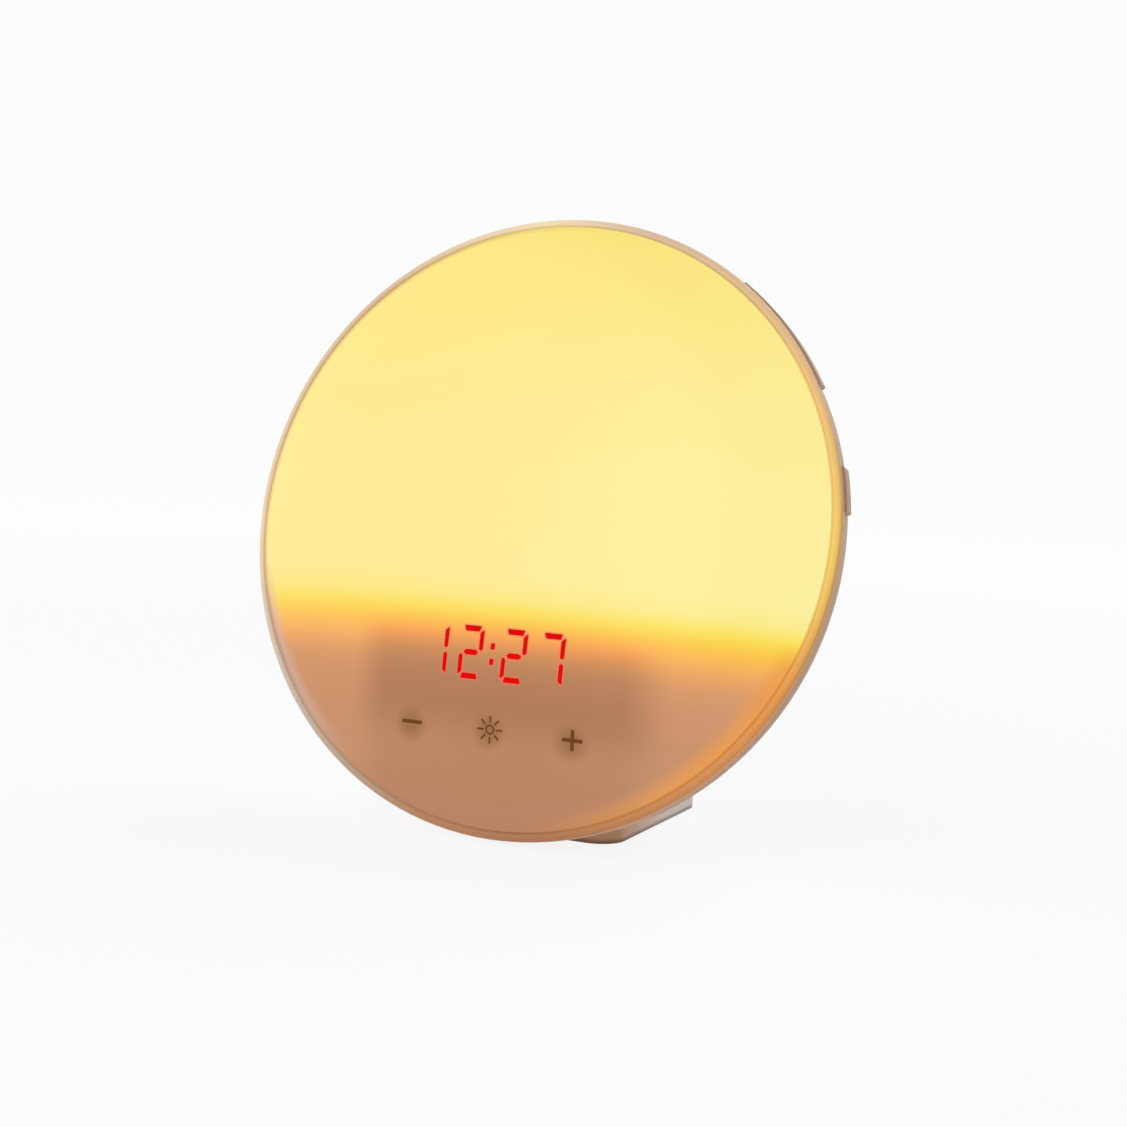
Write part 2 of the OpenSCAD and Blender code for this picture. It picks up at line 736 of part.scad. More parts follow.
module board_connectors() {
    color([0.9, 0.88, 0.8]) on_face() {
        difference() {
            plate([ribbon_w + socket_wall[0], socket_wall[1], socket_h], ribbon_at, main_front + seat);
            plate([ribbon_w + 2 * slip, ribbon_t + 2 * slip, socket_h + cut], ribbon_at, main_front);
        }
        plate(key_plug, [key_plug_at[0], main_y + key_plug_at[1]], main_front + seat);
    }
}

module power_inlet() {
    color([0.1, 0.1, 0.11]) on_face() difference() {
        plate([inlet_size, inlet_size, inlet_face + main_back - seat], inlet_at, -inlet_face);
        translate([inlet_at[0], inlet_at[1], 0])
            rod(inlet_bore_d / 2, -inlet_face - cut, -inlet_face + inlet_bore_l);
    }
}

module inlet_pin() {
    color([0.8, 0.78, 0.7]) on_face() translate([inlet_at[0], inlet_at[1], 0])
        rod(inlet_pin_d / 2, -inlet_face + 1, -inlet_face + inlet_bore_l - seat);
}

// Speaker
module at_speaker() {
    on_face() translate([0, speaker_y, 0]) children();
}

module speaker_frame() {
    neck_r = magnet_r + 1;
    hole_r = coil_r + coil_slip;
    color([0.25, 0.25, 0.27]) at_speaker() difference() {
        rotate_extrude() polygon([[speaker_r - flange_w, flange_z], [speaker_r, flange_z],
            [speaker_r, flange_z + flange_t], [speaker_r - 2.4, flange_z + flange_t],
            [neck_r, basket_z], [hole_r, basket_z], [hole_r, basket_z - 1.2], [neck_r - 1, basket_z - 1.2],
            [speaker_r - flange_w, flange_z + 1]]);
        for (a = [45 : 90 : 315])
            rotate([0, 0, a]) translate([neck_r + 2.5, 0, 0]) rod(2, flange_z + flange_t + 1, basket_z + cut);
    }
}

module speaker_magnet() {
    color([0.35, 0.35, 0.37]) at_speaker() difference() {
        rod_fine(magnet_r, basket_z + seat, basket_z + seat + magnet_l);
        difference() {
            rod_fine(coil_r + coil_slip, basket_z - cut, basket_z + magnet_l - 1.5);
            rod_fine(coil_r - coil_wall - coil_slip, basket_z - 2 * cut, basket_z + magnet_l);
        }
    }
}

module rod_fine(r, z0, z1) {
    translate([0, 0, z0]) cylinder(r = r, h = z1 - z0);
}

module speaker_cone() {
    front = flange_z + 0.4;
    neck = basket_z - 3;
    color([0.15, 0.15, 0.16]) at_speaker() rotate_extrude()
        polygon([[coil_r, neck + 0.8], [coil_r, basket_z + 2.5], [coil_r - coil_wall, basket_z + 2.5],
            [coil_r - coil_wall, neck + 0.4], [0, neck - 0.8], [0, neck - 1.6], [coil_r, neck - 0.4],
            [cone_r - 1, front], [cone_r, front], [cone_r, front + 0.8]]);
}

module speaker_surround() {
    inner = cone_r + surround_slip;
    outer = speaker_r - flange_w - slip;
    mid = (inner + outer) / 2;
    color([0.1, 0.1, 0.1]) at_speaker() translate([0, 0, flange_z]) rotate_extrude() difference() {
        union() {
            translate([inner, 0]) square([outer - inner, 0.8]);
            translate([mid, 0.6]) circle(1.3, $fn = small_fn);
        }
        translate([inner - cut, -3]) square([outer - inner + 2 * cut, 3]);
        translate([mid, 0.2]) circle(0.8, $fn = small_fn);
    }
}

module speaker_gasket() {
    color([0.2, 0.2, 0.2]) at_speaker() difference() {
        rod_fine(speaker_r, -back_in + seat, flange_z - seat);
        rod_fine(speaker_r - gasket_w, -body_depth, flange_z + cut);
    }
}

module speaker_leads() {
    color([0.75, 0.15, 0.1]) on_face() for (x = [-8, -5])
        wire([[x, speaker_y - speaker_r + 5.6, flange_z + 4.6], [x, main_y + 14.5, flange_z + 6.5],
            [x, main_y + 14.5, main_back - seat]], 1);
}

// Keys
function key_back(length) = sqrt(key_back_r ^ 2 - (length / 2 + lug) ^ 2) - 1.2;
function switch_top(length) = key_back(length) - switch_rise;
function key_board_front(length) = switch_top(length) - switch_size[0];
function key_board_back(length) = key_board_front(length) - key_board_t;

module key(length) {
    difference() {
        union() {
            intersection() {
                translate([0, 0, key_mid_z - key_w / 2]) cylinder(r = body_r + key_rise, h = key_w, $fn = 200);
                translate([key_back(length), -length / 2, -body_depth]) cube([body_r, length, body_depth]);
            }
            intersection() {
                translate([0, 0, key_mid_z - key_w / 2 - key_lug_z])
                    cylinder(r = key_back_r, h = key_w + key_lug_z, $fn = 200);
                translate([key_back(length), -length / 2 - lug, -body_depth])
                    cube([body_r, length + 2 * lug, body_depth]);
            }
        }
        for (y = [-1, 1])
            translate([body_r + key_rise, y * length / 2, -body_depth])
                rotate([0, 0, y * 45]) translate([-0.4, -0.4, 0]) cube([3, 3, body_depth]);
    }
}

module snooze_key() {
    color([0.7, 0.58, 0.5]) at_rim(snooze_angle) key(snooze_len);
}

module set_key() {
    color([0.7, 0.58, 0.5]) at_rim(set_angle) key(set_len);
}

module key_board(length) {
    difference() {
        translate([key_board_back(length), -length / 2 - 0.5, key_mid_z - key_board_w / 2])
            cube([key_board_t, length + 1, key_board_w]);
        for (y = [-1, 1])
            translate([key_board_back(length) - cut, y * (length / 2 - 0.8), key_mid_z]) rotate([0, 90, 0])
                cylinder(r = peg_r + slip, h = key_board_t + 2 * cut, $fn = small_fn);
    }
}

module key_boards() {
    color([0.1, 0.32, 0.2]) {
        at_rim(snooze_angle) key_board(snooze_len);
        at_rim(set_angle) key_board(set_len);
    }
}

module key_switch(length, y) {
    difference() {
        translate([key_board_front(length) + seat, y - switch_size[1] / 2, key_mid_z - switch_size[2] / 2])
            cube([switch_size[0] - seat, switch_size[1], switch_size[2]]);
        translate([key_board_front(length) + switch_floor, y, key_mid_z]) rotate([0, 90, 0])
            cylinder(d = plunger_d + 2 * plunger_slip, h = switch_size[0], $fn = small_fn);
    }
}

module plunger(length, y) {
    translate([key_back(length) - seat - plunger_l, y, key_mid_z]) rotate([0, 90, 0])
        cylinder(d = plunger_d, h = plunger_l, $fn = small_fn);
}

module key_switches() {
    color([0.15, 0.15, 0.16]) {
        at_rim(snooze_angle) for (y = snooze_switches) key_switch(snooze_len, y);
        at_rim(set_angle) key_switch(set_len, 0);
    }
}

module snooze_plungers() {
    color([0.9, 0.9, 0.9]) at_rim(snooze_angle) for (y = snooze_switches) plunger(snooze_len, y);
}

module set_plunger() {
    color([0.9, 0.9, 0.9]) at_rim(set_angle) plunger(set_len, 0);
}

module key_leads() {
    color([0.3, 0.3, 0.32]) on_face() {
        wire(key_lead_route, key_lead_d);
    }
}

// Fasteners
module case_screws() {
    color([0.6, 0.6, 0.62]) on_face() for (a = post_angles)
        rotate([0, 0, a]) translate([post_ring_r, 0, tube_shelf_z - seat]) rotate([180, 0, 0])
            screw(case_screw_d, case_screw_tip - tube_shelf_z, case_head_d, case_head_h, 0);
}

module board_screws() {
    color([0.6, 0.6, 0.62]) on_face() {
        for (a = led_screw_angles)
            rotate([0, 0, a]) translate([led_screw_r, 0, 0])
                screw(board_screw_d, board_screw_l, board_head_d, board_head_h, led_front + seat);
        for (p = display_screws)
            translate([p[0], p[1], 0])
                screw(board_screw_d, board_screw_l, board_head_d, board_head_h, display_front + seat);
        for (p = main_screws)
            translate([p[0], p[1], 0])
                screw(board_screw_d, board_screw_l, board_head_d, board_head_h, main_front + seat);
    }
}

module speaker_screws() {
    color([0.6, 0.6, 0.62]) at_speaker() for (a = speaker_screw_angles)
        rotate([0, 0, a]) translate([speaker_screw_ring, 0, 0])
            screw(board_screw_d, speaker_screw_l, board_head_d, board_head_h, flange_z + flange_t + seat);
}

module base_screws() {
    color([0.6, 0.6, 0.62]) for (x = [-1, 1], y = base_screw_rows)
        translate([x * base_screw_x, y, foot_z + base_head_sink - seat]) rotate([180, 0, 0])
            screw(board_screw_d, base_screw_l, board_head_d, base_head_sink - 2 * seat, 0);
}

front_diffuser();
bezel_ring();
rear_housing();
base_cover();
foot_pads();
light_chassis();
light_divider();
led_board();
led_emitters();
display_board();
display_module();
lit_segments();
touch_springs();
display_ribbon();
led_leads();
key_leads();
speaker_leads();
main_board();
board_chips();
board_capacitors();
board_connectors();
power_inlet();
inlet_pin();
speaker_frame();
speaker_magnet();
speaker_cone();
speaker_surround();
speaker_gasket();
snooze_key();
set_key();
key_boards();
key_switches();
snooze_plungers();
set_plunger();
case_screws();
board_screws();
speaker_screws();
base_screws();
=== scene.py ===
import json
import math

import bmesh
import bpy
import numpy as np
from mathutils import Matrix, Vector


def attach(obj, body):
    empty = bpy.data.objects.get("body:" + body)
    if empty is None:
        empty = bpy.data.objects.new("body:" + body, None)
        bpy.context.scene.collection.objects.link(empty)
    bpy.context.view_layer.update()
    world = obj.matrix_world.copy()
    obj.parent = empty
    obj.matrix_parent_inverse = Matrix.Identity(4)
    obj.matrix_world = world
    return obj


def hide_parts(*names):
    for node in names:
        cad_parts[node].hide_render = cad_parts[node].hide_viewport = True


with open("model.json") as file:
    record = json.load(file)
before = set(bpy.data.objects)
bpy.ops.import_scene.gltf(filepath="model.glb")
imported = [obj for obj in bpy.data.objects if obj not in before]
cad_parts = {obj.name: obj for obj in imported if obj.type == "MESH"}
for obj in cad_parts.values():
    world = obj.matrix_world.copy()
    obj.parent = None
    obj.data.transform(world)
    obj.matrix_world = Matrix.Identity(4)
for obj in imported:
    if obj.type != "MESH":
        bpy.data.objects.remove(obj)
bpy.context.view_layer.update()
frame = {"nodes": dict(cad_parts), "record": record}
scene = bpy.context.scene
print("frame loaded:", len(frame["nodes"]), "nodes")

mm = 0.001
face = {"lean": 12, "y": -23.654, "z": 83.688}   # tilt in degrees, middle of the clock face in mm
dome = {"radius": 229.724, "height": 15, "edge": 81.65, "wall": 2, "corner": 0.55}
tilt = math.radians(90 - face["lean"])


def domeHeight(x, y):
    # how far the milky front stands out of the face plane, in mm
    return dome["height"] - dome["radius"] + np.sqrt(dome["radius"] ** 2 - np.square(x) - np.square(y))


# camera, lamps, floor
camera = {"place": (0.203784, -0.471883, 0.108784), "lens": 59.30,
          "right": (0.91526, 0.39956, 0.05155), "up": (-0.07598, 0.04554, 0.99607),
          "back": (0.39564, -0.91558, 0.07203)}
view = bpy.data.objects.new("photoCamera", bpy.data.cameras.new("photoCamera"))
scene.collection.objects.link(view)
view.data.lens, view.data.sensor_width, view.data.sensor_fit = camera["lens"], 36, "HORIZONTAL"
view.data.clip_start, view.data.clip_end = 0.01, 50
turn = Matrix((camera["right"], camera["up"], camera["back"])).transposed().to_4x4()
view.matrix_world = Matrix.Translation(camera["place"]) @ turn
scene.camera = view

lampTarget = Vector((0, -0.03, 0.084))
lamps = {
    # name: direction it comes from (azimuth, elevation), distance, diameter, watts
    "softboxFront": ((-38, 12.5), 0.9, 2.08, 18.0),
    "softboxRear": ((150, 42), 1.6, 1.4, 14.0),
}
for name, (direction, distance, size, power) in lamps.items():
    lamp = bpy.data.lights.new(name, "AREA")
    lamp.shape, lamp.size, lamp.energy = "DISK", size, power
    side, rise = map(math.radians, direction)
    away = Vector((math.sin(side) * math.cos(rise), -math.cos(side) * math.cos(rise), math.sin(rise)))
    stand = bpy.data.objects.new(name, lamp)
    scene.collection.objects.link(stand)
    stand.location = lampTarget + away * distance
    stand.rotation_euler = away.to_track_quat("Z", "Y").to_euler()


# small helpers for node trees
def node(tree, kind, inputs=None, **settings):
    made = tree.nodes.new(kind)
    for name, value in settings.items():
        setattr(made, name, value)
    for name, value in (inputs or {}).items():
        if isinstance(value, bpy.types.NodeSocket):
            tree.links.new(value, made.inputs[name])
        else:
            made.inputs[name].default_value = value
    return made


def maths(tree, operation, *values):
    made = tree.nodes.new("ShaderNodeMath")
    made.operation = operation
    for socket, value in zip(made.inputs, values):
        if isinstance(value, bpy.types.NodeSocket):
            tree.links.new(value, socket)
        else:
            socket.default_value = value
    return made.outputs[0]


def smooth(tree, value, start, end, low=0.0, high=1.0):
    made = node(tree, "ShaderNodeMapRange", {"Value": value, "From Min": start, "From Max": end,
                                             "To Min": low, "To Max": high},
                interpolation_type="SMOOTHSTEP")
    return made.outputs[0]


def srgb(*levels):
    # 0-255 levels as they show on a screen, turned into the shader's linear colour
    line = [c / 255 / 12.92 if c <= 10 else ((c / 255 + 0.055) / 1.055) ** 2.4 for c in levels]
    return (*line, 1.0)


def mixed(tree, factor, first, second, blend="MIX"):
    made = tree.nodes.new("ShaderNodeMix")
    made.data_type, made.blend_type = "RGBA", blend
    for index, value in ((0, factor), (6, first), (7, second)):
        if isinstance(value, bpy.types.NodeSocket):
            tree.links.new(value, made.inputs[index])
        else:
            made.inputs[index].default_value = value
    return made.outputs[2]


def tinted(tree, share, colour, tint):
    return mixed(tree, share, colour, (*tint, 1), "MULTIPLY")


def vectors(tree, operation, first, second, output=0):
    return node(tree, "ShaderNodeVectorMath", {0: first, 1: second}, operation=operation).outputs[output]


def ramp(tree, value, stops):
    # stops: (place from 0 to 1, (r, g, b) in 0-255 levels)
    made = node(tree, "ShaderNodeValToRGB", {"Fac": value})
    line = made.color_ramp.elements
    while len(line) < len(stops):
        line.new(0.5)
    for stop, (place, colour) in zip(line, stops):
        stop.position, stop.color = place, srgb(*colour)
    return made.outputs[0]


def newMaterial(name, **sockets):
    made = bpy.data.materials.new(name)
    made.use_nodes = True
    shader = made.node_tree.nodes["Principled BSDF"]
    for socket, value in sockets.items():
        shader.inputs[socket.replace("_", " ")].default_value = value
    return made, made.node_tree, shader


def facePlace(tree):
    # object coordinates turned into the clock face's own: x right, y up the face, z out, in mm
    place = node(tree, "ShaderNodeTexCoord").outputs["Object"]
    flat = Matrix.Rotation(-tilt, 3, "X") @ Vector((0, face["y"], face["z"]))
    turned = node(tree, "ShaderNodeMapping", {"Vector": place, "Location": -flat,
                                              "Rotation": (-tilt, 0, 0), "Scale": (1000, 1000, 1000)})
    split = node(tree, "ShaderNodeSeparateXYZ", {"Vector": turned.outputs[0]})
    return turned.outputs[0], split.outputs[0], split.outputs[1], split.outputs[2]


def polar(tree, x, y):
    radius = maths(tree, "SQRT", maths(tree, "ADD", maths(tree, "MULTIPLY", x, x), maths(tree, "MULTIPLY", y, y)))
    angle = maths(tree, "DEGREES", maths(tree, "ARCTAN2", y, x))
    return radius, angle


def grain(tree, shader, place, scale, strength, height=0.02, rough=None):
    # fine moulded texture: a bump, and roughness that varies a little
    noise = node(tree, "ShaderNodeTexNoise", {"Vector": place, "Scale": scale, "Detail": 3.0, "Roughness": 0.55})
    bump = node(tree, "ShaderNodeBump", {"Height": noise.outputs[0], "Strength": strength, "Distance": height * mm})
    tree.links.new(bump.outputs[0], shader.inputs["Normal"])
    if rough:
        span = node(tree, "ShaderNodeMapRange", {"Value": noise.outputs[0], "To Min": rough[0], "To Max": rough[1]})
        tree.links.new(span.outputs[0], shader.inputs["Roughness"])


def ownAndPaintedGlow(tree, shader, paint, tone, share):
    # the tone that shows is part base colour and part emitted light: a real glow on the lit front and its marks, a
    # painted glow on the white plastic round it
    tree.links.new(paint, shader.inputs["Base Color"])
    tree.links.new(tone, shader.inputs["Emission Color"])
    shader.inputs["Emission Strength"].default_value = share


def plasticMaterial(name, colour, rough=(0.4, 0.5), scale=900.0, strength=0.15, shade=0.94, **sockets):
    # moulded plastic, rubber, board or paper: two close shades, a fine grain
    made, tree, shader = newMaterial(name, **sockets)
    place = node(tree, "ShaderNodeTexCoord").outputs["Object"]
    grain(tree, shader, place, scale, strength, rough=rough)
    cloud = node(tree, "ShaderNodeTexNoise", {"Vector": place, "Scale": 45.0, "Detail": 2.0})
    light, dark = srgb(*colour), srgb(*[c * shade for c in colour])
    tree.links.new(mixed(tree, cloud.outputs[0], light, dark), shader.inputs["Base Color"])
    return made


def seenRays(tree):
    # 1 where the camera sees it, straight, mirrored or through glass
    path = node(tree, "ShaderNodeLightPath").outputs
    straight = maths(tree, "MAXIMUM", path["Is Camera Ray"], path["Is Glossy Ray"])
    return maths(tree, "MAXIMUM", straight, path["Is Transmission Ray"])


# floor and backdrop
floorLook = {"size": 30, "albedo": 0.8, "ownAndPaintedGlow": 1.0, "near": 0.88, "far": 0.97, "fade": (0.3, 1.3)}
backdropLook = {"light": (0.2, 0.2, 0.205, 1), "seen": (0.97, 0.97, 0.97, 1)}
mesh = bpy.data.meshes.new("floor")
half = floorLook["size"] / 2
mesh.from_pydata([(-half, -half, 0), (half, -half, 0), (half, half, 0), (-half, half, 0)], [], [(0, 1, 2, 3)])
floor = bpy.data.objects.new("floor", mesh)
scene.collection.objects.link(floor)
made, tree, shader = newMaterial("paleFloor")
tree.nodes.remove(shader)
paper = node(tree, "ShaderNodeBsdfDiffuse", {"Color": (floorLook["albedo"],) * 3 + (1,)})
glow = node(tree, "ShaderNodeEmission", {"Color": (1, 1, 1, 1), "Strength": floorLook["ownAndPaintedGlow"]})
reach = node(tree, "ShaderNodeVectorMath", {0: node(tree, "ShaderNodeTexCoord").outputs["Object"]},
             operation="LENGTH").outputs["Value"]   # from the object's middle
share = smooth(tree, reach, *floorLook["fade"], floorLook["near"], floorLook["far"])
both = node(tree, "ShaderNodeMixShader", {0: maths(tree, "MULTIPLY", seenRays(tree), share)})
tree.links.new(paper.outputs[0], both.inputs[1])
tree.links.new(glow.outputs[0], both.inputs[2])
tree.links.new(both.outputs[0], tree.nodes["Material Output"].inputs["Surface"])
floor.data.materials.append(made)

world = bpy.data.worlds.new("studio")
scene.world = world
world.use_nodes = True
tree = world.node_tree
backdrop = mixed(tree, seenRays(tree), backdropLook["light"], backdropLook["seen"])
tree.links.new(backdrop, tree.nodes["Background"].inputs["Color"])
scene.view_settings.view_transform = "Standard"
print("camera, lamps, floor and backdrop set")


# Geometry Nodes: turned shapes, marks on the dome
poleGap = 0.002 * mm     # points closer than this at the pole of a turned shape are one
twinGap = 0.00001 * mm   # only points in the same place are one


def newTree(name, inputs):
    tree = bpy.data.node_groups.new(name, "GeometryNodeTree")
    tree.interface.new_socket("Geometry", in_out="INPUT", socket_type="NodeSocketGeometry")
    for label, kind, value in inputs:
        socket = tree.interface.new_socket(label, in_out="INPUT", socket_type="NodeSocket" + kind)
        if value is not None:
            socket.default_value = value
    tree.interface.new_socket("Geometry", in_out="OUTPUT", socket_type="NodeSocketGeometry")
    return tree, node(tree, "NodeGroupInput").outputs, node(tree, "NodeGroupOutput").inputs


def stoodUp(tree, flat, given, out):
    # leans the finished shape to the clock face's tilt and place, and ends the tree
    lean = node(tree, "ShaderNodeCombineXYZ", {"X": given["Tilt"]})
    stood = node(tree, "GeometryNodeTransform", {"Geometry": flat, "Rotation": lean.outputs[0],
                                                 "Translation": given["Centre"]})
    real = node(tree, "GeometryNodeRealizeInstances", {"Geometry": stood.outputs[0]})
    done = node(tree, "GeometryNodeSetMaterial", {"Geometry": real.outputs[0], "Material": given["Finish"]})
    tree.links.new(done.outputs[0], out["Geometry"])


def turnedTree():
    # a profile (x = radius, z = out of the face) turned about the face's axis
    tree, given, out = newTree("turnedAboutFace", [("Segments", "Int", 480), ("Path Radius", "Float", mm),
                                                   ("Tilt", "Float", tilt), ("Centre", "Vector", (0, 0, 0)),
                                                   ("Finish", "Material", None)])
    laid = node(tree, "GeometryNodeTransform", {"Geometry": given["Geometry"], "Rotation": (math.pi / 2, 0, 0)})
    shift = node(tree, "ShaderNodeCombineXYZ", {"X": maths(tree, "MULTIPLY", given["Path Radius"], -1.0)})
    moved = node(tree, "GeometryNodeTransform", {"Geometry": laid.outputs[0], "Translation": shift.outputs[0]})
    profile = node(tree, "GeometryNodeMeshToCurve", {"Mesh": moved.outputs[0]})
    circle = node(tree, "GeometryNodeCurvePrimitiveCircle", {"Resolution": given["Segments"],
                                                             "Radius": given["Path Radius"]})
    swept = node(tree, "GeometryNodeCurveToMesh", {"Curve": circle.outputs[0], "Profile Curve": profile.outputs[0]})
    closed = node(tree, "GeometryNodeMergeByDistance", {"Geometry": swept.outputs[0], "Distance": poleGap})
    stoodUp(tree, closed.outputs[0], given, out)
    return tree


def marksTree():
    # flat outlines in face coordinates become thin closed plates that lie on the dome
    tree, given, out = newTree("marksOnDome", [("Corner", "Float", 0.2 * mm), ("Thickness", "Float", 0.02 * mm),
                                               ("Lift", "Float", 0.03 * mm),
                                               ("Dome Radius", "Float", dome["radius"] * mm),
                                               ("Dome Height", "Float", dome["height"] * mm),
                                               ("Tilt", "Float", tilt), ("Centre", "Vector", (0, 0, 0)),
                                               ("Finish", "Material", None)])
    loops = node(tree, "GeometryNodeMeshToCurve", {"Mesh": given["Geometry"]})
    rounded = node(tree, "GeometryNodeFilletCurve", {"Curve": loops.outputs[0], "Count": 4,
                                                     "Radius": given["Corner"], "Limit Radius": True}, mode="POLY")
    filled = node(tree, "GeometryNodeFillCurve", {"Curve": rounded.outputs[0]}, mode="TRIANGLES")
    cut = node(tree, "GeometryNodeSubdivideMesh", {"Mesh": filled.outputs[0], "Level": 1})
    raised = node(tree, "GeometryNodeExtrudeMesh", {"Mesh": cut.outputs[0], "Offset Scale": given["Thickness"],
                                                    "Individual": False})
    under = node(tree, "GeometryNodeFlipFaces", {"Mesh": cut.outputs[0]})
    joined = tree.nodes.new("GeometryNodeJoinGeometry")
    tree.links.new(raised.outputs[0], joined.inputs[0])
    tree.links.new(under.outputs[0], joined.inputs[0])
    closed = node(tree, "GeometryNodeMergeByDistance", {"Geometry": joined.outputs[0], "Distance": twinGap})
    spot = node(tree, "GeometryNodeInputPosition").outputs[0]
    flat = vectors(tree, "MULTIPLY", spot, (1, 1, 0))
    square = vectors(tree, "DOT_PRODUCT", flat, flat, "Value")
    rest = maths(tree, "SUBTRACT", maths(tree, "POWER", given["Dome Radius"], 2.0), square)
    bulge = maths(tree, "SUBTRACT", maths(tree, "SQRT", rest), given["Dome Radius"])
    height = maths(tree, "ADD", maths(tree, "ADD", bulge, given["Dome Height"]), given["Lift"])
    offset = node(tree, "ShaderNodeCombineXYZ", {"Z": height})
    laid = node(tree, "GeometryNodeSetPosition", {"Geometry": closed.outputs[0], "Offset": offset.outputs[0]})
    stoodUp(tree, laid.outputs[0], given, out)
    return tree


turned, marks = turnedTree(), marksTree()
faceCentre = Vector((0, face["y"], face["z"])) * mm


def grown(name, points, edges, tree, values):
    # runs a tree on bare edges and keeps the result as a plain mesh
    outline = bpy.data.meshes.new(name + "Outline")
    outline.from_pydata(points, edges, [])
    source = bpy.data.objects.new(name + "Outline", outline)
    scene.collection.objects.link(source)
    modifier = source.modifiers.new("grow", "NODES")
    modifier.node_group = tree
    for item in tree.interface.items_tree:
        if item.in_out == "INPUT" and item.name in values:
            modifier[item.identifier] = values[item.name]
    shaped = source.evaluated_get(bpy.context.evaluated_depsgraph_get())
    mesh = bpy.data.meshes.new_from_object(shaped)
    mesh.name = name
    source.modifiers.remove(modifier)
    bpy.data.objects.remove(source)
    bpy.data.meshes.remove(outline)
    work = bmesh.new()
    work.from_mesh(mesh)
    bmesh.ops.remove_doubles(work, verts=work.verts, dist=twinGap)
    bmesh.ops.recalc_face_normals(work, faces=work.faces)
    loose = [e for e in work.edges if len(e.link_faces) != 2]
    work.to_mesh(mesh)
    work.free()
    mesh.shade_smooth()
    piece = bpy.data.objects.new(name, mesh)
    scene.collection.objects.link(piece)
    print(name, len(mesh.polygons), "faces,", len(loose), "open edges")
    return piece


def turnedPiece(name, profile, finish, segments):
    points = [(r * mm, 0, z * mm) for r, z in profile]
    edges = [(i, i + 1) for i in range(len(points) - 1)]
    return grown(name, points, edges, turned, {"Segments": segments, "Centre": faceCentre, "Finish": finish})


def marksPiece(name, outlines, finish, look):
    points, edges = [], []
    for outline in outlines:
        first = len(points)
        points += [(x * mm, y * mm, 0) for x, y in outline]
        edges += [(first + i, first + (i + 1) % len(outline)) for i in range(len(outline))]
    return grown(name, points, edges, marks, {
        "Corner": look["corner"] * mm, "Lift": look["lift"] * mm, "Thickness": look["thickness"] * mm,
        "Centre": faceCentre, "Finish": finish})


def arc(centre, radius, start, end, steps):
    turnTo = np.radians(np.linspace(start, end, steps + 1))
    return [(centre[0] + radius * math.cos(a), centre[1] + radius * math.sin(a)) for a in turnTo]


# digits and touch symbols, in face coordinates (mm)
digits = {"figures": "1227", "middles": (-16.6, -6.35, 5.95, 16.2), "level": -36.8, "slant": 2.3,
          "wide": 3.4, "tall": 6.85, "bar": 1.45, "post": 1.15, "gap": 0.35,
          "end": (0.95, 0.25), "side": (0.75, 1.05, 0.95), "nose": (0.5, 0.45), "middle": (0.1, 0.85, 0.72),
          "colon": (-0.2, 1.98), "dot": (1.15, 1.6), "corner": 0.22, "lift": 0.03, "thickness": 0.02}
symbols = {"level": (-56.26, -55.95, -56.1), "middles": (-23.0, 0.28, 22.95), "line": 0.95, "minus": 6.2,
           "plus": (5.5, 5.3), "ring": (1.3, 0.85), "ringSteps": 48, "rays": 8, "rayFrom": 1.75, "rayTo": 3.6,
           "rayWide": 0.5, "corner": 0.15, "lift": 0.03, "thickness": 0.02}


def segmentOutlines():
    # the seven bars of a digit by their usual letters, about its middle
    w, h, t, p, gap = (digits[k] for k in ("wide", "tall", "bar", "post", "gap"))
    (end, bevel), (high, low, step), (nose, tip) = digits["end"], digits["side"], digits["nose"]
    point, slope, rise = digits["middle"]
    i = w - p
    top = [(-w + end, h), (w - end, h), (i - bevel, h - t), (-i + bevel, h - t)]
    right = [(w, h - high), (w, low), (w - nose, tip), (i, step), (i, h - t - gap)]
    middle = [(-i + point, 0), (-i + slope, rise), (i - slope, rise), (i - point, 0), (i - slope, -rise),
              (-i + slope, -rise)]

    def mirror(shape, sx, sy):
        return [(x * sx, y * sy) for x, y in shape]

    return {"a": top, "b": right, "c": mirror(right, 1, -1), "d": mirror(top, 1, -1), "e": mirror(right, -1, -1),
            "f": mirror(right, -1, 1), "g": middle}


def bar(middle, along, across, angle):
    c, s = math.cos(math.radians(angle)), math.sin(math.radians(angle))
    corners = [(-along / 2, -across / 2), (along / 2, -across / 2), (along / 2, across / 2), (-along / 2, across / 2)]
    return [(middle[0] + x * c - y * s, middle[1] + x * s + y * c) for x, y in corners]


def digitOutlines():
    lit = {"1": "bc", "2": "abged", "7": "abc"}
    lean = math.tan(math.radians(digits["slant"]))
    shapes = []
    for figure, middle in zip(digits["figures"], digits["middles"]):
        for key in lit[figure]:
            shapes.append([(middle + x + y * lean, digits["level"] + y) for x, y in segmentOutlines()[key]])
    (x0, rise), (wide, tall) = digits["colon"], digits["dot"]
    for side in (1, -1):
        y0 = digits["level"] + side * rise
        shapes.append([(x0 + x + (side * rise + y) * lean, y0 + y) for x, y in bar((0, 0), wide, tall, 0)])
    return shapes


